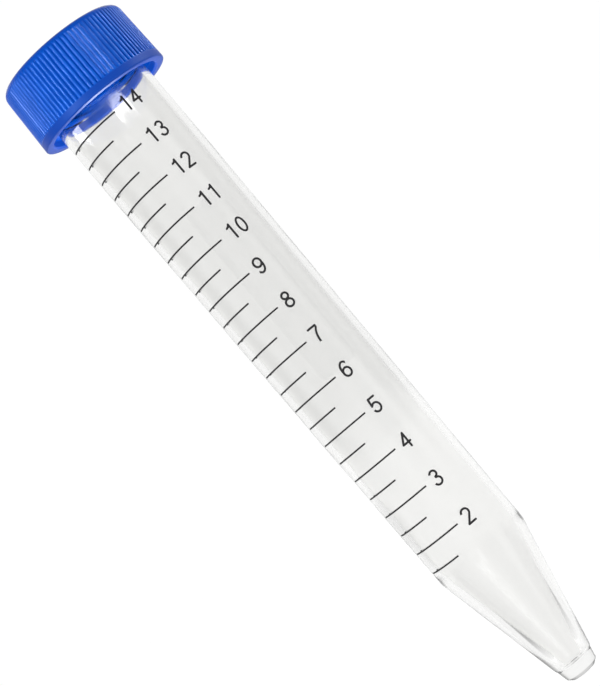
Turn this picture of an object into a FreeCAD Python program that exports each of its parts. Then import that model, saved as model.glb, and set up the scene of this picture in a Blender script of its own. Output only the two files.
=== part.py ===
import FreeCAD, Part
import math
import os

# A 15 mL centrifuge tube with a conical bottom and a ribbed screw cap.
# Millimetres. +Z runs up the tube's axis, cap up. The origin is the centre of the tip's flat.
# -Y is the front, where the scale ends: lines run round it from -X, and numerals follow towards +X.

V = FreeCAD.Vector
AXIS = V(0, 0, 1)

# Overall
total_height = 120.0          # tip to cap top
tube_height = 117.6           # tip to the mouth's rim

# Barrel: a slight draft up to a short parallel land, where a rack's hole holds the tube
barrel_foot_z = 22.9          # the cone meets the barrel here
barrel_foot_r = 7.785
land_z = 98.0
land_r = 8.28
wall = 1.055

# Neck, inside the cap
neck_z = 108.8
neck_r = 8.05

# Cone and tip
cone_foot_z = 2.6
cone_foot_r = 3.29
tip_top_r = 3.12              # the tip's stub stands in from the cone by a small shoulder
tip_top_z = 2.35
tip_edge_r = 2.72
tip_edge_z = 0.6
tip_flat_r = 2.0

# Inside of the cone
bore_floor_z = 2.35
bore_floor_r = 1.55
bore_knee_z = 23.8            # the bore's cone meets its barrel here

# Screw thread, right-handed, one start
thread_lead = 3.0
thread_turns = 1.25
neck_thread_z = 111.3         # middle of the neck's thread where it starts
neck_thread_r = 9.1
cap_thread_drop = 1.3         # the cap's thread runs this far under the neck's
cap_thread_skip = 0.25        # turns left out at its lower end
cap_thread_r = 8.7
thread_root_width = 1.6
thread_crest_width = 0.7
thread_bite = 0.25            # how far a thread's root goes into its wall

# Cap
rim_z = 109.2
rim_r = 11.25
shoulder_z = 118.6            # the side ends and the rounded top edge begins
shoulder_r = 10.95
skirt_r = 9.7                 # inside of the skirt
rim_chamfer = 0.25
pocket_z = 116.9              # the liner's pocket
pocket_r = 8.85
ceiling_z = 118.5
gate_r = 1.6                  # shallow moulding recess in the middle of the top
gate_depth = 0.3

# Ribs round the cap
rib_count = 93
groove_foot_z = 110.45
groove_top_z = 118.75
groove_depth = 0.27
groove_share = 0.62           # of the pitch that the groove takes

# Sealing liner
liner_r = 8.6
liner_thick = 0.8
seat_gap = 0.05
liner_edge = 0.15

# Printed scale
first_mark_ml = 1.5
last_mark_ml = 14.0
mark_step_ml = 0.5
ink_thick = 0.04
line_width = 0.25
line_start_deg = -76.0
major_end = 0.12              # along the surface from the front, at the scale's middle height
half_end = -2.8
print_middle_z = 66.0
print_lean = 0.0082           # the print leans to +X by this much for each mm of height
print_high = 0.45             # the print stands up to this much high in the middle of the scale
print_true_ml = 6.0           # and is true again this many mL above and below

# Numerals
digit_height = 2.62
digit_width = 1.6
digit_advance = 1.8
digit_stroke = 0.33
numeral_start = 1.17
two_digit_shift = 0.2

# White writing patch on the back
patch_foot_z = 57.0
patch_top_z = 90.0
patch_from_deg = 139.0
patch_to_deg = 193.0
patch_thick = 0.03
patch_corner_r = 0.8


def barrel_r(z):
    """Outer radius of the barrel at height z."""
    if z >= land_z:
        return land_r
    rise = (land_r - barrel_foot_r) / (land_z - barrel_foot_z)
    return barrel_foot_r + rise * (z - barrel_foot_z)


def bore_r(z):
    """Inner radius at height z."""
    if z >= bore_knee_z:
        return barrel_r(z) - wall
    knee_r = barrel_r(bore_knee_z) - wall
    share = (z - bore_floor_z) / (bore_knee_z - bore_floor_z)
    return bore_floor_r + share * (knee_r - bore_floor_r)


def frustum(r0, r1, height):
    return math.pi * height * (r0 * r0 + r0 * r1 + r1 * r1) / 3


def filled_ml(z):
    """What the tube holds when it stands upright and is filled to height z."""
    stops = [bore_floor_z, bore_knee_z, land_z, tube_height]
    total = 0.0
    for low, high in zip(stops, stops[1:]):
        if z > low:
            top = min(z, high)
            total += frustum(bore_r(low), bore_r(top), top - low)
    return total / 1000


def height_of(ml):
    """Height of the liquid's surface when the tube holds that much."""
    low, high = bore_floor_z, tube_height
    for _ in range(60):
        middle = (low + high) / 2
        if filled_ml(middle) < ml:
            low = middle
        else:
            high = middle
    return (low + high) / 2


def line(a, b):
    return Part.LineSegment(V(a[0], 0, a[1]), V(b[0], 0, b[1])).toShape()


def turned(edges):
    """The solid that a closed outline of (r, z) edges makes when it turns about Z."""
    face = Part.Face(Part.Wire(edges))
    return face.revolve(V(0, 0, 0), AXIS, 360)


def outline(points):
    """Straight edges through the (r, z) points, closed."""
    return [line(a, b) for a, b in zip(points, points[1:] + points[:1])]


def rounded(solid, radius, near):
    """Rounds the circular edges that pass within 0.02 mm of the (r, z) points in near."""
    chosen = []
    for edge in solid.Edges:
        if not hasattr(edge.Curve, "Radius") or len(edge.Vertexes) > 1:
            continue
        r, z = edge.Curve.Radius, edge.Curve.Center.z
        if any(math.hypot(r - pr, z - pz) < 0.02 for pr, pz in near):
            chosen.append(edge)
    return solid.makeFillet(radius, chosen)


def thread(z, root_r, crest_r, turns, start_turn):
    """A trapezoid ridge along a right-hand helix. Its root lies thread_bite inside the wall."""
    out = 1 if crest_r > root_r else -1
    back = root_r - out * thread_bite
    slope = (thread_root_width - thread_crest_width) / 2 / abs(crest_r - root_r)
    half_back = thread_root_width / 2 + slope * thread_bite
    half_crest = thread_crest_width / 2
    points = [(back, -half_back), (crest_r, -half_crest), (crest_r, half_crest), (back, half_back)]
    profile = Part.Wire(outline(points))
    helix = Part.makeHelix(thread_lead, thread_lead * turns, (root_r + crest_r) / 2)
    ridge = Part.Wire(helix.Edges).makePipeShell([profile], True, True)
    ridge.translate(V(0, 0, z))
    ridge.rotate(V(0, 0, 0), AXIS, 360 * start_turn)
    return ridge


def make_tube():
    knee_r = barrel_r(bore_knee_z) - wall
    shell = turned(outline([
        (0, 0),
        (tip_flat_r, 0),
        (tip_edge_r, tip_edge_z),
        (tip_top_r, tip_top_z),
        (cone_foot_r, cone_foot_z),
        (barrel_foot_r, barrel_foot_z),
        (land_r, land_z),
        (land_r, neck_z),
        (neck_r, neck_z + land_r - neck_r),
        (neck_r, tube_height),
        (land_r - wall, tube_height),
        (land_r - wall, land_z),
        (knee_r, bore_knee_z),
        (bore_floor_r, bore_floor_z),
        (0, bore_floor_z),
    ]))
    shell = rounded(shell, 0.35, [(tip_flat_r, 0), (tip_edge_r, tip_edge_z)])
    shell = rounded(shell, 0.3, [(neck_r, tube_height), (land_r - wall, tube_height)])
    shell = rounded(shell, 0.8, [(bore_floor_r, bore_floor_z)])
    shell = rounded(shell, 3.0, [(barrel_foot_r, barrel_foot_z), (knee_r, bore_knee_z)])
    return shell.fuse(thread(neck_thread_z, neck_r, neck_thread_r, thread_turns, 0))


def make_groove():
    """The cutter for one groove between two ribs, at +X."""
    wires = []
    for z in (groove_foot_z, groove_top_z):
        r = rim_r + (shoulder_r - rim_r) * (z - rim_z) / (shoulder_z - rim_z)
        half = math.pi * r / rib_count * groove_share
        spread = 0.3          # the cutter stands out past the surface by this much
        wide = half * (groove_depth + spread) / groove_depth
        points = [V(r - groove_depth, 0, z), V(r + spread, wide, z), V(r + spread, -wide, z)]
        wires.append(Part.makePolygon(points + points[:1]))
    return Part.makeLoft(wires, True, True)


def make_cap():
    body = turned(outline([
        (0, ceiling_z),
        (pocket_r, ceiling_z),
        (pocket_r, pocket_z),
        (skirt_r, pocket_z - (skirt_r - pocket_r)),
        (skirt_r, rim_z + rim_chamfer),
        (skirt_r + rim_chamfer, rim_z),
        (rim_r, rim_z),
        (shoulder_r, shoulder_z),
        (shoulder_r - (total_height - shoulder_z) * 0.03, total_height),
        (gate_r, total_height),
        (gate_r, total_height - gate_depth),
        (0, total_height - gate_depth),
    ]))
    top_r = shoulder_r - (total_height - shoulder_z) * 0.03
    body = rounded(body, 1.35, [(top_r, total_height)])
    body = rounded(body, 0.25, [(rim_r, rim_z)])
    groove = make_groove()
    cutters = []
    for i in range(rib_count):
        cutter = groove.copy()
        cutter.rotate(V(0, 0, 0), AXIS, 360 * i / rib_count)
        cutters.append(cutter)
    body = body.cut(Part.makeCompound(cutters))
    foot = neck_thread_z - cap_thread_drop + thread_lead * cap_thread_skip
    return body.fuse(thread(foot, skirt_r, cap_thread_r, thread_turns, cap_thread_skip))


def make_liner():
    top = ceiling_z - seat_gap
    disc = Part.makeCylinder(liner_r, liner_thick, V(0, 0, top - liner_thick))
    return rounded(disc, liner_edge, [(liner_r, top), (liner_r, top - liner_thick)])


def lean(z):
    return print_lean * (z - print_middle_z)


def band(z0, z1, from_deg, to_deg, thick):
    """A skin on the barrel between two heights and two angles from the front, towards +X."""
    skin = Part.Face(Part.Wire(outline([
        (barrel_r(z0), z0), (barrel_r(z0) + thick, z0),
        (barrel_r(z1) + thick, z1), (barrel_r(z1), z1),
    ])))
    skin.rotate(V(0, 0, 0), AXIS, from_deg - 90)
    return skin.revolve(V(0, 0, 0), AXIS, to_deg - from_deg)


def mark_levels():
    count = round((last_mark_ml - first_mark_ml) / mark_step_ml)
    return [first_mark_ml + mark_step_ml * i for i in range(count + 1)]


def mark_z(ml):
    """Where a mark is printed. The scale's ends are true, and its middle stands a little high."""
    middle = (first_mark_ml + last_mark_ml - 1) / 2
    return height_of(ml) + print_high * max(0, 1 - ((ml - middle) / print_true_ml) ** 4)


def make_lines(whole):
    """The lines at whole millilitres, or those halfway between."""
    lines = []
    for ml in mark_levels():
        if (ml == int(ml)) != whole:
            continue
        z = mark_z(ml)
        end = (major_end if whole else half_end) + lean(z)
        end_deg = math.degrees(end / barrel_r(z))
        half = line_width / 2
        lines.append(band(z - half, z + half, line_start_deg, end_deg, ink_thick))
    return Part.makeCompound(lines)


def oval(x, y, wide, high):
    """A flat oval about a point, with half axes wide and high."""
    disc = Part.Face(Part.Wire(Part.Circle(V(0, 0, 0), AXIS, 1).toShape()))
    squeeze = FreeCAD.Matrix(wide, 0, 0, x, 0, high, 0, y)
    return disc.transformGeometry(squeeze)


def straight(*points):
    """A stroke through points in a cell 1 wide and 1 high, with round ends and corners."""
    half = digit_stroke / 2
    corners = [V(x * digit_width, y * digit_height, 0) for x, y in points]
    pieces = [Part.Face(Part.Wire(Part.Circle(corner, AXIS, half).toShape())) for corner in corners]
    for a, b in zip(corners, corners[1:]):
        along = (b - a).normalize()
        side = V(-along.y, along.x, 0) * half
        pieces.append(Part.Face(Part.makePolygon([a + side, b + side, b - side, a - side, a + side])))
    return pieces


def bow(x, y, rx, ry, from_deg, to_deg):
    """A stroke along an oval about (x, y) in the cell, anticlockwise. 360 degrees close it."""
    cx, cy = x * digit_width, y * digit_height
    wide, high = rx * digit_width, ry * digit_height
    half = digit_stroke / 2
    ring = oval(cx, cy, wide, high).cut(oval(cx, cy, wide - 2 * half, high - 2 * half))
    span = to_deg - from_deg
    if span >= 360:
        return [ring]
    steps = max(2, math.ceil(span / 45))
    fan = [V(cx, cy, 0)]
    for i in range(steps + 1):
        turn = math.radians(from_deg + span * i / steps)
        fan.append(V(cx + 4 * wide * math.cos(turn), cy + 4 * high * math.sin(turn), 0))
    wedge = Part.Face(Part.makePolygon(fan + fan[:1]))
    return [ring.common(wedge)]


def digit_strokes(digit):
    """The flat shapes in the XY plane that make up a digit."""
    low = digit_stroke / digit_height / 2
    high = 1 - low
    side = digit_stroke / digit_width / 2
    if digit == "0":
        return bow(0.5, 0.5, 0.48, 0.5, 0, 360)
    if digit == "1":
        return straight((0.22, 0.78), (0.42, 0.82), (0.55, high), (0.55, low))
    if digit == "2":
        return bow(0.5, 0.71, 0.48, 0.29, -25, 175) + straight((0.83, 0.58), (0.14, low), (1 - side, low))
    if digit == "3":
        return bow(0.49, 0.745, 0.43, 0.255, -100, 165) + bow(0.5, 0.29, 0.48, 0.29, -170, 100)
    if digit == "4":
        return straight((1 - side, 0.34), (side, 0.34), (0.7, high), (0.7, low))
    if digit == "5":
        return straight((0.88, high), (0.24, high), (0.16, 0.5)) + bow(0.49, 0.335, 0.49, 0.335, -165, 135)
    if digit == "6":
        return bow(0.5, 0.32, 0.48, 0.32, 0, 360) + bow(0.56, 0.5, 0.54, 0.5, 45, 195)
    if digit == "7":
        return straight((0.1, high), (1 - side, high), (0.87, 0.84)) + bow(1.3, 0.02, 0.98, 0.97, 112, 180)
    if digit == "8":
        return bow(0.5, 0.75, 0.42, 0.25, 0, 360) + bow(0.5, 0.285, 0.48, 0.285, 0, 360)
    return bow(0.5, 0.68, 0.48, 0.32, 0, 360) + bow(0.44, 0.5, 0.54, 0.5, -135, 15)


def make_digit(digit, arc, z):
    """A digit on the barrel. arc is where its cell starts, along the surface from the front."""
    turn = math.degrees((arc + digit_width / 2) / barrel_r(z))
    blocks = []
    for stroke in digit_strokes(digit):
        plate = stroke.copy()
        plate.translate(V(-digit_width / 2, -digit_height / 2, 0))
        plate.rotate(V(0, 0, 0), V(1, 0, 0), 90)
        block = plate.extrude(V(0, -1.2 * land_r, 0))
        block.translate(V(0, 0, z))
        block.rotate(V(0, 0, 0), AXIS, turn)
        blocks.append(block)
    skin = band(z - digit_height, z + digit_height, turn - 20, turn + 20, ink_thick)
    printed = [skin.common(block) for block in blocks]
    if len(printed) > 1:
        return printed[0].fuse(printed[1:]).removeSplitter()
    return printed[0]


def make_numerals():
    digits = []
    for ml in mark_levels():
        if ml != int(ml):
            continue
        z = mark_z(ml)
        text = str(int(ml))
        start = numeral_start + lean(z) + two_digit_shift * (len(text) - 1)
        for i, digit in enumerate(text):
            digits += make_digit(digit, start + i * digit_advance, z).Solids
    return Part.makeCompound(digits)


def make_patch():
    """The writing patch, with rounded corners."""
    half = math.radians(patch_to_deg - patch_from_deg) / 2
    middle = (patch_from_deg + patch_to_deg) / 2
    wide = 2 * barrel_r(patch_top_z) * math.sin(half)
    tall = patch_top_z - patch_foot_z
    block = Part.makeBox(wide, 2 * land_r, tall, V(-wide / 2, -2 * land_r, patch_foot_z))
    block = block.makeFillet(patch_corner_r, [e for e in block.Edges if abs(e.Length - 2 * land_r) < 0.01])
    block.rotate(V(0, 0, 0), AXIS, middle)
    skin = band(patch_foot_z - 1, patch_top_z + 1, patch_from_deg - 10, patch_to_deg + 10, patch_thick)
    return skin.common(block)


nodes = {
    "tube_body": make_tube(),
    "screw_cap": make_cap(),
    "cap_liner": make_liner(),
    "major_graduation_lines": make_lines(True),
    "half_graduation_lines": make_lines(False),
    "graduation_numerals": make_numerals(),
    "writing_patch": make_patch(),
}

os.makedirs("parts", exist_ok=True)
for name, shape in nodes.items():
    shape.exportStep("parts/" + name + ".step")
    box = shape.BoundBox
    print(name, "solids", len(shape.Solids), "valid", shape.isValid(), "volume %.2f" % shape.Volume)
    print("   z %.2f to %.2f, x %.2f to %.2f" % (box.ZMin, box.ZMax, box.XMin, box.XMax))
print("1.5 mL at z %.2f, 14 mL at z %.2f" % (height_of(1.5), height_of(14)))
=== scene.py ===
import bpy
import math
from mathutils import Matrix, Vector


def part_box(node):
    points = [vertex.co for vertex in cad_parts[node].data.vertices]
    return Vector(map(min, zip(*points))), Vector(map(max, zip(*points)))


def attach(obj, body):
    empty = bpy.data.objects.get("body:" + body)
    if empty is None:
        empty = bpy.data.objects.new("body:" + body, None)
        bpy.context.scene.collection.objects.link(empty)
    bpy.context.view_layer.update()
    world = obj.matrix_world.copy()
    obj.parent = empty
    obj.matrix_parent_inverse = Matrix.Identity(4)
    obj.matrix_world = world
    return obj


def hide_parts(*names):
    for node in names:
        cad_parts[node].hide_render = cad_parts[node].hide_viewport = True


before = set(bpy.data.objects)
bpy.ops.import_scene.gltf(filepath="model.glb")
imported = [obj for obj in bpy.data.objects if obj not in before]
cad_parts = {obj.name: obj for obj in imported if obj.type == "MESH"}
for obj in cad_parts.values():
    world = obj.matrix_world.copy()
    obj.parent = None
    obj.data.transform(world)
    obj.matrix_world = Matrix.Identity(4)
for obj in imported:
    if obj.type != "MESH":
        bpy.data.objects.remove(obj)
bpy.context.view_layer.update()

# Camera. A short telephoto near the middle of the tube's height, so that it looks a little up into
# the cap's rim. It is rolled to the left, and the upright tube lies across the frame.
camera_distance = 0.3221
camera_height = 0.0487
camera_aim = Vector((-0.00074, 0.0, 0.06358))
camera_roll = math.radians(40.2)
camera_lens = 114.64

bpy.ops.object.select_all(action="DESELECT")
bpy.ops.object.camera_add(location=(0.0, -camera_distance, camera_height))
camera = bpy.context.object
camera.name = "camera"
look = camera_aim - camera.location
turn = look.to_track_quat("-Z", "Y").to_matrix() @ Matrix.Rotation(-camera_roll, 3, "Z")
camera.rotation_euler = turn.to_euler()
camera.data.lens = camera_lens
camera.data.sensor_width = 36.0
camera.data.clip_start = 0.01
camera.data.clip_end = 20.0
bpy.context.scene.camera = camera

# Studio. A backlit white table under the tube and a white wall behind it. The wall falls off to grey at
# the sides, which draws the edges of the clear plastic. Small lights in front pick out the cap.
bpy.context.scene.view_settings.view_transform = "Standard"


def linear(colour):
    """sRGB hex text, such as "3f7fd0", as linear red, green, blue and full alpha."""
    parts = [int(colour[i:i + 2], 16) / 255 for i in (0, 2, 4)]
    return [p / 12.92 if p <= 0.04045 else ((p + 0.055) / 1.055) ** 2.4 for p in parts] + [1.0]


def add_node(owner, kind, settings=None, links=None):
    """A new node in a material or world. settings are attributes or input values, links feed inputs."""
    node = owner.node_tree.nodes.new(kind)
    for name, value in (settings or {}).items():
        if isinstance(name, int) or name in node.inputs:
            node.inputs[name].default_value = value
        else:
            setattr(node, name, value)
    for name, socket in (links or {}).items():
        owner.node_tree.links.new(socket, node.inputs[name])
    return node


def new_material(name):
    """An empty node material and its output node."""
    material = bpy.data.materials.new(name)
    material.use_nodes = True
    material.node_tree.nodes.clear()
    return material, material.node_tree.nodes.new("ShaderNodeOutputMaterial")


def connect(owner, socket_from, socket_to):
    owner.node_tree.links.new(socket_from, socket_to)


def set_ramp(node, stops):
    """Sets a colour ramp to (place, sRGB hex) stops."""
    ramp = node.color_ramp
    while len(ramp.elements) < len(stops):
        ramp.elements.new(0.5)
    for element, (place, colour) in zip(ramp.elements, stops):
        element.position = place
        element.color = linear(colour)


# The wall's brightness by bearing. The ramp runs from the camera's side (0) round by the left (0.25),
# behind the tube (0.5) and the right (0.75). The paler stretches on the camera's side are windows. The
# light is strongest low down and falls off overhead.
studio = bpy.data.worlds.new("studio")
bpy.context.scene.world = studio
studio.use_nodes = True
background = studio.node_tree.nodes["Background"]
direction = add_node(studio, "ShaderNodeTexCoord")
split = add_node(studio, "ShaderNodeSeparateXYZ", links={"Vector": direction.outputs["Generated"]})
bearing = add_node(studio, "ShaderNodeMath", {"operation": "ARCTAN2"},
                   {0: split.outputs["X"], 1: split.outputs["Y"]})
around = add_node(studio, "ShaderNodeMapRange", {"From Min": -math.pi, "From Max": math.pi},
                  {"Value": bearing.outputs[0]})
wall_light = add_node(studio, "ShaderNodeValToRGB", links={"Fac": around.outputs[0]})
set_ramp(wall_light, [
    (0.00, "b0b0b0"), (0.04, "787878"), (0.13, "707070"), (0.165, "c8c8c8"), (0.20, "c8c8c8"),
    (0.235, "606060"), (0.29, "808080"), (0.34, "d0d0d0"), (0.62, "d0d0d0"), (0.67, "909090"),
    (0.80, "747474"), (0.85, "b8b8b8"), (0.96, "c8c8c8"), (1.00, "b0b0b0")])
overhead = add_node(studio, "ShaderNodeMapRange", {
    "From Min": 0.35, "From Max": 0.8, "To Min": 1.6, "To Max": 0.5}, {"Value": split.outputs["Z"]})
connect(studio, wall_light.outputs["Color"], background.inputs["Color"])
connect(studio, overhead.outputs[0], background.inputs["Strength"])

table_glow = 0.94
table_z = -0.0004
paper, paper_out = new_material("backlit_table")
paper_shader = add_node(paper, "ShaderNodeBsdfPrincipled", {
    "Base Color": linear("808080"), "Roughness": 0.9,
    "Emission Color": linear("ffffff"), "Emission Strength": table_glow})
connect(paper, paper_shader.outputs[0], paper_out.inputs["Surface"])

bpy.ops.object.select_all(action="DESELECT")
bpy.ops.mesh.primitive_plane_add(size=6.0, location=(0.0, 0.0, table_z))
floor = bpy.context.object
floor.name = "floor"
floor.data.materials.append(paper)

# Strips of grey gel lie on the table beside the tube, hidden from the camera. They dim it more and more
# outwards, and the walls of the barrel and cone pick that up as their darker edges and streaks.
for name, middle, width, depth, fade_from, fade_to, glow in (
        ("gel_left", -0.048, 0.076, 0.03, 0.01, 0.02, 0.42),
        ("gel_right", 0.036, 0.052, 0.03, 0.01, 0.025, 0.55),
        ("gel_far_left", -1.5, 2.8, 1.6, 0.1, 0.25, 0.7)):
    gel, gel_out = new_material(name)
    gel_place = add_node(gel, "ShaderNodeTexCoord")
    gel_xyz = add_node(gel, "ShaderNodeSeparateXYZ", links={"Vector": gel_place.outputs["Object"]})
    gel_reach = add_node(gel, "ShaderNodeMath", {"operation": "ABSOLUTE"}, {0: gel_xyz.outputs["X"]})
    gel_glow = add_node(gel, "ShaderNodeMapRange", {
        "From Min": fade_from, "From Max": fade_to, "To Min": table_glow, "To Max": glow},
        {"Value": gel_reach.outputs[0]})
    gel_shader = add_node(gel, "ShaderNodeBsdfPrincipled", {
        "Base Color": linear("404040"), "Roughness": 0.5, "Emission Color": linear("ffffff")},
        {"Emission Strength": gel_glow.outputs[0]})
    connect(gel, gel_shader.outputs[0], gel_out.inputs["Surface"])
    bpy.ops.mesh.primitive_plane_add(size=1.0, location=(middle, 0.0, 0.0))
    gel_strip = bpy.context.object
    gel_strip.name = name
    gel_strip.scale = (width, depth, 1.0)
    bpy.ops.object.transform_apply(location=True, rotation=True, scale=True)
    gel_strip.visible_camera = False
    gel_strip.data.materials.append(gel)

# Strips for the ribs' highlights, a low fill, and a glow that stands in for the light that comes through
# the cap, all for the cap alone. The high windows are for the tube, which mirrors them under the rim.
# Only the cap throws shadows in these lights, because the tube is clear.
cap_only = bpy.data.collections.new("lights_for_the_cap")
tube_only = bpy.data.collections.new("lights_for_the_tube")
lamp_target = Vector((0, 0, 0.112))
for name, place, size, power, lit in (
        ("strip_light_left", (-0.37, -0.475, 0.26), (0.025, 0.3), 4.2, cap_only),
        ("strip_light_right", (0.58, 0.05, 0.26), (0.02, 0.3), 1.9, cap_only),
        ("low_fill_light", (0.2, -0.55, -0.12), (0.3, 0.2), 1.2, cap_only),
        ("glow_in_the_cap", (0.0, -0.001, 0.1), (0.004, 0.004), 0.006, cap_only),
        ("high_window_right", (0.24, -0.55, 0.243), (0.42, 0.02), 0.32, tube_only),
        ("high_window_left", (-0.6, -0.02, 0.243), (0.3, 0.02), 0.25, tube_only)):
    bpy.ops.object.light_add(type="AREA", location=place)
    lamp = bpy.context.object
    lamp.name = name
    lamp.data.shape = "RECTANGLE"
    lamp.data.size, lamp.data.size_y = size
    lamp.data.energy = power
    lamp.light_linking.receiver_collection = lit
    lamp.light_linking.blocker_collection = cap_only
    lamp.visible_camera = False
    lamp.visible_transmission = False
    lamp_aim = lamp_target - lamp.location
    lamp.rotation_euler = lamp_aim.to_track_quat("-Z", "Y").to_euler()

# Tube body. One injection moulding in clear polypropylene: a threaded neck, a barrel with a slight
# draft, a cone, and a short blunt tip with the mark of the gate where the plastic was fed in.
mm = 0.001
tube_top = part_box("tube_body")[1].z
tube_points = 192
tube_wall = 1.055 * mm
land_r = 8.28 * mm
land_z = 98.0 * mm
neck_r = 8.05 * mm
neck_z = 110.2 * mm
barrel_foot_r = 7.785 * mm
barrel_foot_z = 22.9 * mm
knee_z = 23.8 * mm
cone_foot_r = 3.29 * mm
cone_foot_z = 2.6 * mm
floor_z = 2.35 * mm
floor_r = 1.55 * mm
thread_lead = 3.0 * mm
thread_turns = 1.25
ridge_root_half = 0.9 * mm
ridge_crest_half = 0.35 * mm
neck_thread_z = 111.3 * mm
neck_crest_r = 9.1 * mm
gate_r = 0.55 * mm
gate_z = 0.12 * mm


def draft_r(z):
    """Outer radius of the drafted barrel at height z."""
    return barrel_foot_r + (land_r - barrel_foot_r) * (z - barrel_foot_z) / (land_z - barrel_foot_z)


def softened(outline, radius, steps=6):
    """An open outline of (r, z) corners, with each corner that has a radius turned into an arc."""
    points = []
    for i, corner in enumerate(outline):
        here = Vector(corner)
        if i not in radius:
            points.append(here)
            continue
        back = (Vector(outline[i - 1]) - here).normalized()
        on = (Vector(outline[i + 1]) - here).normalized()
        half = back.angle(on) / 2
        reach = radius[i] / math.tan(half)
        centre = here + (back + on).normalized() * (radius[i] / math.sin(half))
        first = here + back * reach - centre
        last = here + on * reach - centre
        for k in range(steps + 1):
            points.append(centre + first.slerp(last, k / steps).normalized() * radius[i])
    return points


def turn_up(name, points, count):
    """Draws a ring up an outline of (r, z) points. It starts and ends on the axis, at r of 0."""
    rings = points[1:-1]
    bpy.ops.object.select_all(action="DESELECT")
    bpy.ops.mesh.primitive_circle_add(vertices=count, radius=rings[0][0], location=(0, 0, rings[0][1]))
    piece = bpy.context.object
    piece.name = name
    bpy.ops.object.transform_apply(location=True, rotation=True, scale=True)
    bpy.ops.object.mode_set(mode="EDIT")
    bpy.ops.mesh.select_all(action="SELECT")
    for low, high in zip(rings, rings[1:]):
        bpy.ops.mesh.extrude_region_move(TRANSFORM_OT_translate={"value": (0, 0, high[1] - low[1])})
        grow = high[0] / low[0]
        bpy.ops.transform.resize(value=(grow, grow, 1), center_override=(0, 0, high[1]))
    bpy.ops.mesh.extrude_region_move()
    bpy.ops.transform.resize(value=(0, 0, 1), center_override=(0, 0, rings[-1][1]))
    bpy.ops.mesh.select_all(action="SELECT")
    bpy.ops.mesh.remove_doubles(threshold=1e-7)
    bpy.ops.mesh.select_all(action="DESELECT")
    bpy.ops.mesh.select_mode(type="EDGE")
    bpy.ops.mesh.select_non_manifold()
    bpy.ops.mesh.extrude_region_move()
    bpy.ops.transform.resize(value=(0, 0, 1), center_override=(0, 0, rings[0][1]))
    bpy.ops.mesh.select_all(action="SELECT")
    bpy.ops.mesh.remove_doubles(threshold=1e-7)
    bpy.ops.mesh.normals_make_consistent(inside=False)
    bpy.ops.mesh.select_mode(type="VERT")
    bpy.ops.object.mode_set(mode="OBJECT")
    return piece


def thread_ridge(name, z, root_r, crest_r, start_turn):
    """A trapezoid ridge along a right-hand helix, tapered off at both ends. Its back is in the wall."""
    steps_per_turn = 48
    taper_steps = 8
    tip_size = 0.06
    back_share = 0.3
    back_r = root_r - (crest_r - root_r) * back_share
    depth = crest_r - back_r
    start = 2 * math.pi * start_turn
    bpy.ops.object.select_all(action="DESELECT")
    bpy.ops.mesh.primitive_circle_add(
        vertices=4, fill_type="NGON", radius=abs(depth) / math.sqrt(2),
        location=(back_r + depth / 2, 0, z), rotation=(math.pi / 2, math.pi / 4, 0))
    ridge = bpy.context.object
    ridge.name = name
    bpy.ops.object.transform_apply(location=True, rotation=True, scale=True)
    for vertex in ridge.data.vertices:
        at_root = abs(vertex.co.x - back_r) < abs(vertex.co.x - crest_r)
        half = ridge_root_half if at_root else ridge_crest_half
        vertex.co.z = z + (half if vertex.co.z > z else -half)
    steps = round(steps_per_turn * thread_turns)
    sizes = [min(1, tip_size + (1 - tip_size) * min(i, steps - i) / taper_steps) for i in range(steps + 1)]
    bpy.ops.object.mode_set(mode="EDIT")
    bpy.ops.mesh.select_all(action="SELECT")
    bpy.ops.transform.resize(value=(sizes[0],) * 3, center_override=(back_r, 0, z))
    step = 2 * math.pi / steps_per_turn
    rise = thread_lead / steps_per_turn
    for i in range(steps):
        bpy.ops.mesh.extrude_region_move(TRANSFORM_OT_translate={"value": (0, 0, rise)})
        bpy.ops.transform.rotate(value=-step, orient_axis="Z", center_override=(0, 0, 0))
        angle = step * (i + 1)
        middle = (back_r * math.cos(angle), back_r * math.sin(angle), z + rise * (i + 1))
        bpy.ops.transform.resize(value=(sizes[i + 1] / sizes[i],) * 3, center_override=middle)
    bpy.ops.mesh.select_all(action="SELECT")
    bpy.ops.transform.rotate(value=-start, orient_axis="Z", center_override=(0, 0, 0))
    bpy.ops.mesh.normals_make_consistent(inside=False)
    bpy.ops.object.mode_set(mode="OBJECT")
    return ridge


def join_ridge(piece, ridge):
    """Unites a piece with its thread ridge and merges points left less than 2 microns apart."""
    union = piece.modifiers.new("thread", "BOOLEAN")
    union.operation = "UNION"
    union.solver = "EXACT"
    union.object = ridge
    bpy.ops.object.select_all(action="DESELECT")
    bpy.context.view_layer.objects.active = piece
    piece.select_set(True)
    bpy.ops.object.modifier_apply(modifier=union.name)
    bpy.ops.object.mode_set(mode="EDIT")
    bpy.ops.mesh.select_all(action="SELECT")
    bpy.ops.mesh.remove_doubles(threshold=0.002 * mm)
    bpy.ops.object.mode_set(mode="OBJECT")
    bpy.data.objects.remove(ridge)


# The outline runs up the outside, over the mouth and down the bore. tube_rounds gives the radii of its
# corners, by their number in it.
tube_outline = [
    (0, gate_z), (gate_r, gate_z), (gate_r + 0.2 * mm, 0), (2.0 * mm, 0), (2.72 * mm, 0.6 * mm),
    (3.12 * mm, 2.35 * mm), (cone_foot_r, cone_foot_z),
    (barrel_foot_r, barrel_foot_z), (land_r, land_z), (land_r, neck_z),
    (neck_r, neck_z + land_r - neck_r), (neck_r, tube_top),
    (land_r - tube_wall, tube_top), (land_r - tube_wall, land_z),
    (draft_r(knee_z) - tube_wall, knee_z), (floor_r, floor_z), (0, floor_z)]
tube_rounds = {3: 0.35 * mm, 4: 0.35 * mm, 5: 0.1 * mm, 6: 0.15 * mm, 7: 7 * mm, 9: 0.08 * mm,
               10: 0.08 * mm, 11: 0.3 * mm, 12: 0.3 * mm, 14: 10 * mm, 15: 0.8 * mm}
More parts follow.
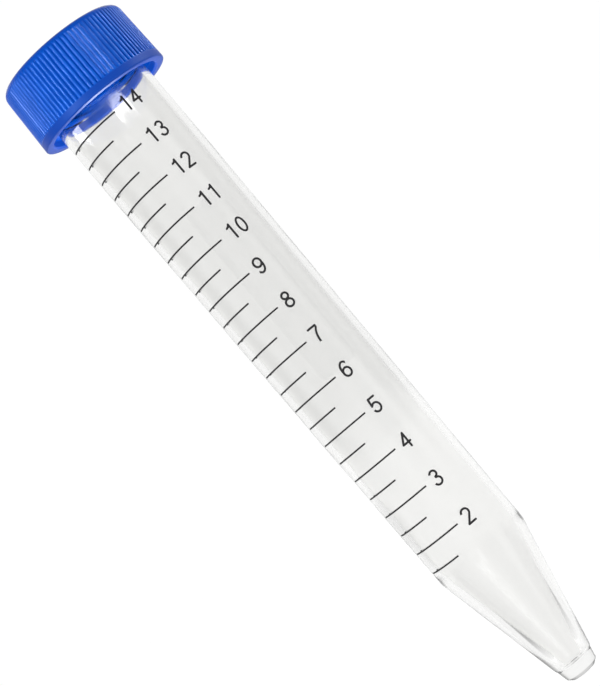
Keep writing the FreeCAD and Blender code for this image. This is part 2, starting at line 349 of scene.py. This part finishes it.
clear_tube = turn_up("clear_tube", softened(tube_outline, tube_rounds), tube_points)
neck_ridge = thread_ridge("neck_ridge", neck_thread_z, neck_r, neck_crest_r, 0)
join_ridge(clear_tube, neck_ridge)
bpy.ops.object.shade_smooth_by_angle(angle=math.radians(35))

# Clarified polypropylene, moulded against polished steel: clear with a faint haze, and a skin that is
# never quite flat, so that what is seen through it wavers a little. The waves run along the tube.
clear, clear_out = new_material("clarified_polypropylene")
clear_place = add_node(clear, "ShaderNodeTexCoord")
flow = add_node(clear, "ShaderNodeMapping", {"Scale": (1.0, 1.0, 0.25)},
                {"Vector": clear_place.outputs["Object"]})
waves = add_node(clear, "ShaderNodeTexNoise", {"Scale": 320.0, "Detail": 2.0, "Roughness": 0.5},
                 {"Vector": flow.outputs[0]})
wave_bump = add_node(clear, "ShaderNodeBump", {"Strength": 0.35, "Distance": 0.00006},
                     {"Height": waves.outputs["Fac"]})
haze_noise = add_node(clear, "ShaderNodeTexNoise", {"Scale": 900.0, "Detail": 3.0},
                      {"Vector": clear_place.outputs["Object"]})
haze = add_node(clear, "ShaderNodeMapRange", {"To Min": 0.03, "To Max": 0.09},
                {"Value": haze_noise.outputs["Fac"]})
clear_shader = add_node(clear, "ShaderNodeBsdfPrincipled", {
    "Base Color": linear("f6f6f5"), "IOR": 1.49, "Transmission Weight": 1.0},
    {"Roughness": haze.outputs[0], "Normal": wave_bump.outputs[0]})
connect(clear, clear_shader.outputs[0], clear_out.inputs["Surface"])
clear_tube.data.materials.append(clear)
tube_only.objects.link(clear_tube)
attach(clear_tube, "tube")
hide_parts("tube_body")

# Screw cap. One moulding in blue polypropylene: 93 fine grip ribs above a plain band, a rounded top
# with a shallow gate recess, and inside a thread and a pocket that the liner sits in.
cap_low, cap_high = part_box("screw_cap")
rib_count = 93
rib_points = 8
rim_r = 11.244 * mm
rim_z = cap_low.z
shoulder_r = 10.95 * mm
shoulder_z = 118.6 * mm
groove_foot_z = 110.45 * mm
groove_top_z = 118.75 * mm
groove_depth = 0.2 * mm
foot_step = 0.12 * mm
skirt_r = 9.7 * mm
cap_thread_z = 110.75 * mm
cap_crest_r = 8.7 * mm
pocket_r = 8.85 * mm
pocket_z = 116.9 * mm
ceiling_z = 118.5 * mm
top_z = cap_high.z
recess_r = 1.6 * mm
recess_z = top_z - 0.3 * mm
pip_r = 0.35 * mm
pip_z = top_z - 0.12 * mm
side_slope = (shoulder_r - rim_r) / (shoulder_z - rim_z)


def side_r(z):
    """Outer radius of the cap's side at height z."""
    return rim_r + side_slope * (z - rim_z)


# The outline runs from the ceiling down the inside, round the rim and up the side to the gate recess.
side_stops = [groove_foot_z - foot_step, groove_foot_z, groove_foot_z + foot_step,
              groove_foot_z + 0.3 * mm, 114.0 * mm, 117.6 * mm]
cap_outline = [(0, ceiling_z), (pocket_r, ceiling_z), (pocket_r, pocket_z),
               (skirt_r, pocket_z - skirt_r + pocket_r), (skirt_r, rim_z + 0.25 * mm),
               (skirt_r + 0.25 * mm, rim_z), (rim_r, rim_z)]
cap_outline += [(side_r(z), z) for z in side_stops]
cap_outline += [(side_r(top_z), top_z), (recess_r, top_z), (recess_r - 0.1 * mm, recess_z),
                (pip_r + 0.1 * mm, recess_z), (pip_r, pip_z), (0, pip_z)]
top_corner = 7 + len(side_stops)
cap_rounds = {1: 0.2 * mm, 4: 0.1 * mm, 5: 0.1 * mm, 6: 0.25 * mm, top_corner: 1.35 * mm,
              top_corner + 1: 0.12 * mm}
ribbed_cap = turn_up("ribbed_cap", softened(cap_outline, cap_rounds), rib_count * rib_points)

# A rib and its groove take eight points round the cap. Each point is pushed in towards the axis by its
# share of the groove's depth, which leaves rounded ribs with sharp grooves between them.
groove_shape = [0.0, 0.05, 0.2, 0.52, 1.0, 0.52, 0.2, 0.05]
for slot_number in range(1, rib_points):
    for vertex in ribbed_cap.data.vertices:
        r = vertex.co.xy.length
        place = math.atan2(vertex.co.y, vertex.co.x) / (2 * math.pi) * rib_count * rib_points
        in_slot = round(place) % rib_points == slot_number
        in_band = groove_foot_z < vertex.co.z < groove_top_z + 0.3 * mm and r > skirt_r + 0.2 * mm
        vertex.select = in_slot and in_band
    for other in list(ribbed_cap.data.edges) + list(ribbed_cap.data.polygons):
        other.select = False
    bpy.ops.object.mode_set(mode="EDIT")
    push = 1 - groove_depth * groove_shape[slot_number] / shoulder_r
    bpy.ops.transform.resize(value=(push, push, 1), center_override=(0, 0, 0))
    bpy.ops.object.mode_set(mode="OBJECT")

cap_ridge = thread_ridge("cap_ridge", cap_thread_z, skirt_r, cap_crest_r, 0.25)
join_ridge(ribbed_cap, cap_ridge)
bpy.ops.object.shade_smooth_by_angle(angle=math.radians(50))

# Coloured polypropylene, moulded against fine spark-eroded steel: a satin skin whose grain catches the
# light, paler where hands have rubbed the crests of the ribs, and duller on the plain band, whose darker
# blue there is painted shade.
# The blue tint of the sheen stands in for the light that goes a little way into the plastic.
worn_depth = 0.06 * mm
worn_share = 0.25
band_blend = 0.1 * mm
band_dulling = 0.3
blue, blue_out = new_material("blue_polypropylene_satin")
blue_place = add_node(blue, "ShaderNodeTexCoord")
grain = add_node(blue, "ShaderNodeTexNoise", {"Scale": 6500.0, "Detail": 2.0, "Roughness": 0.6},
                 {"Vector": blue_place.outputs["Object"]})
grain_bump = add_node(blue, "ShaderNodeBump", {"Strength": 0.12, "Distance": 0.00002},
                      {"Height": grain.outputs["Fac"]})
cloud = add_node(blue, "ShaderNodeTexNoise", {"Scale": 420.0, "Detail": 4.0, "Roughness": 0.6},
                 {"Vector": blue_place.outputs["Object"]})
blue_tone = add_node(blue, "ShaderNodeValToRGB", links={"Fac": cloud.outputs["Fac"]})
set_ramp(blue_tone, [(0.3, "013a94"), (0.7, "023f9e")])
blue_xyz = add_node(blue, "ShaderNodeSeparateXYZ", links={"Vector": blue_place.outputs["Object"]})
flat = add_node(blue, "ShaderNodeCombineXYZ",
                links={"X": blue_xyz.outputs["X"], "Y": blue_xyz.outputs["Y"]})
reach = add_node(blue, "ShaderNodeVectorMath", {"operation": "LENGTH"}, {0: flat.outputs[0]})
draft = add_node(blue, "ShaderNodeMath", {
    "operation": "MULTIPLY_ADD", 1: -side_slope, 2: side_slope * rim_z}, {0: blue_xyz.outputs["Z"]})
level_r = add_node(blue, "ShaderNodeMath", {"operation": "ADD"},
                   {0: reach.outputs["Value"], 1: draft.outputs[0]})
crest = add_node(blue, "ShaderNodeMapRange", {"From Min": rim_r - worn_depth, "From Max": rim_r},
                 {"Value": level_r.outputs[0]})
rub = add_node(blue, "ShaderNodeMath", {"operation": "MULTIPLY"},
               {0: crest.outputs[0], 1: cloud.outputs["Fac"]})
rub_share = add_node(blue, "ShaderNodeMath", {"operation": "MULTIPLY", 1: worn_share},
                     {0: rub.outputs[0]})
blue_worn = add_node(blue, "ShaderNodeMixRGB", {"Color2": linear("1f78e6")},
                     {"Fac": rub_share.outputs[0], "Color1": blue_tone.outputs["Color"]})
band = add_node(blue, "ShaderNodeMapRange", {
    "From Min": groove_foot_z - band_blend, "From Max": groove_foot_z + band_blend,
    "To Min": 1.0, "To Max": 0.0}, {"Value": blue_xyz.outputs["Z"]})
satin = add_node(blue, "ShaderNodeMapRange", {"To Min": 0.14, "To Max": 0.26},
                 {"Value": cloud.outputs["Fac"]})
gloss = add_node(blue, "ShaderNodeMath", {"operation": "MULTIPLY_ADD", 1: band_dulling}, {
    0: band.outputs[0], 2: satin.outputs[0]})
# Painted shade: the plain band is mixed to a darker blue, though the whole cap is one blue moulding.
blue_band_painted_shade = add_node(blue, "ShaderNodeMixRGB", {"Color2": linear("033288")}, {
    "Fac": band.outputs[0], "Color1": blue_worn.outputs["Color"]})
blue_shader = add_node(blue, "ShaderNodeBsdfPrincipled", {
    "IOR": 1.49, "Specular IOR Level": 0.36, "Specular Tint": linear("8fb8ff")}, {
    "Base Color": blue_band_painted_shade.outputs["Color"], "Roughness": gloss.outputs[0],
    "Normal": grain_bump.outputs[0]})
connect(blue, blue_shader.outputs[0], blue_out.inputs["Surface"])
ribbed_cap.data.materials.append(blue)
cap_only.objects.link(ribbed_cap)
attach(ribbed_cap, "cap")
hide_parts("screw_cap")

# Cap liner. A disc punched from soft white polyethylene foam sheet and pressed into the pocket. The
# mouth of the tube has left a shallow ring in its underside.
liner_low, liner_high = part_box("cap_liner")
liner_r = 8.6 * mm
dent = 0.06 * mm
liner_outline = [
    (0, liner_low.z), (6.9 * mm, liner_low.z), (7.2 * mm, liner_low.z + dent),
    (8.05 * mm, liner_low.z + dent), (8.3 * mm, liner_low.z), (liner_r, liner_low.z),
    (liner_r, liner_high.z), (0, liner_high.z)]
liner_rounds = {1: 0.1 * mm, 2: 0.1 * mm, 3: 0.1 * mm, 5: 0.1 * mm, 6: 0.15 * mm}
foam_liner = turn_up("foam_liner", softened(liner_outline, liner_rounds), 128)
bpy.ops.object.shade_smooth_by_angle(angle=math.radians(40))

# Cross-linked polyethylene foam, skived from a block: matt, off-white, with the cut walls of tiny
# closed cells, about 0.2 mm across.
foam, foam_out = new_material("polyethylene_foam_skived")
foam_place = add_node(foam, "ShaderNodeTexCoord")
cells = add_node(foam, "ShaderNodeTexVoronoi", {"Scale": 4500.0}, {"Vector": foam_place.outputs["Object"]})
cell_bump = add_node(foam, "ShaderNodeBump", {"Strength": 0.5, "Distance": 0.00004},
                     {"Height": cells.outputs["Distance"]})
foam_tone = add_node(foam, "ShaderNodeValToRGB", links={"Fac": cells.outputs["Distance"]})
set_ramp(foam_tone, [(0.0, "d9dad6"), (0.6, "f1f1ee")])
foam_shader = add_node(foam, "ShaderNodeBsdfPrincipled", {"Roughness": 0.8, "IOR": 1.45}, {
    "Base Color": foam_tone.outputs["Color"], "Normal": cell_bump.outputs[0]})
connect(foam, foam_shader.outputs[0], foam_out.inputs["Surface"])
foam_liner.data.materials.append(foam)
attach(foam_liner, "liner")
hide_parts("cap_liner")

# Printed scale. Lines and numerals in black screen-printing ink, which keeps the shapes that the
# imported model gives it. A thin matt coat with ragged density, cured hard on the flamed plastic.
ink, ink_out = new_material("black_screen_ink")
ink_place = add_node(ink, "ShaderNodeTexCoord")
ink_noise = add_node(ink, "ShaderNodeTexNoise", {"Scale": 7000.0, "Detail": 2.0},
                     {"Vector": ink_place.outputs["Object"]})
ink_tone = add_node(ink, "ShaderNodeValToRGB", links={"Fac": ink_noise.outputs["Fac"]})
set_ramp(ink_tone, [(0.35, "121214"), (0.7, "2b2b2f")])
ink_bump = add_node(ink, "ShaderNodeBump", {"Strength": 0.4, "Distance": 0.00001},
                    {"Height": ink_noise.outputs["Fac"]})
ink_shader = add_node(ink, "ShaderNodeBsdfPrincipled", {"Roughness": 0.55, "IOR": 1.5}, {
    "Base Color": ink_tone.outputs["Color"], "Normal": ink_bump.outputs[0]})
connect(ink, ink_shader.outputs[0], ink_out.inputs["Surface"])
for name in ("major_graduation_lines", "half_graduation_lines", "graduation_numerals"):
    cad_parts[name].data.materials[0] = ink

# Writing patch. A panel of thin white ink on the back, matt enough to take a pen. It is so thin that
# it only dims what is behind it a little.
white, white_out = new_material("white_screen_ink_thin")
white_place = add_node(white, "ShaderNodeTexCoord")
white_noise = add_node(white, "ShaderNodeTexNoise", {"Scale": 2500.0, "Detail": 3.0},
                       {"Vector": white_place.outputs["Object"]})
white_bump = add_node(white, "ShaderNodeBump", {"Strength": 0.3, "Distance": 0.00001},
                      {"Height": white_noise.outputs["Fac"]})
white_tone = add_node(white, "ShaderNodeValToRGB", links={"Fac": white_noise.outputs["Fac"]})
set_ramp(white_tone, [(0.3, "eceeee"), (0.7, "f6f7f7")])
white_shader = add_node(white, "ShaderNodeBsdfPrincipled", {
    "Roughness": 0.75, "Alpha": 0.035}, {
    "Base Color": white_tone.outputs["Color"], "Normal": white_bump.outputs[0]})
connect(white, white_shader.outputs[0], white_out.inputs["Surface"])
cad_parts["writing_patch"].data.materials[0] = white
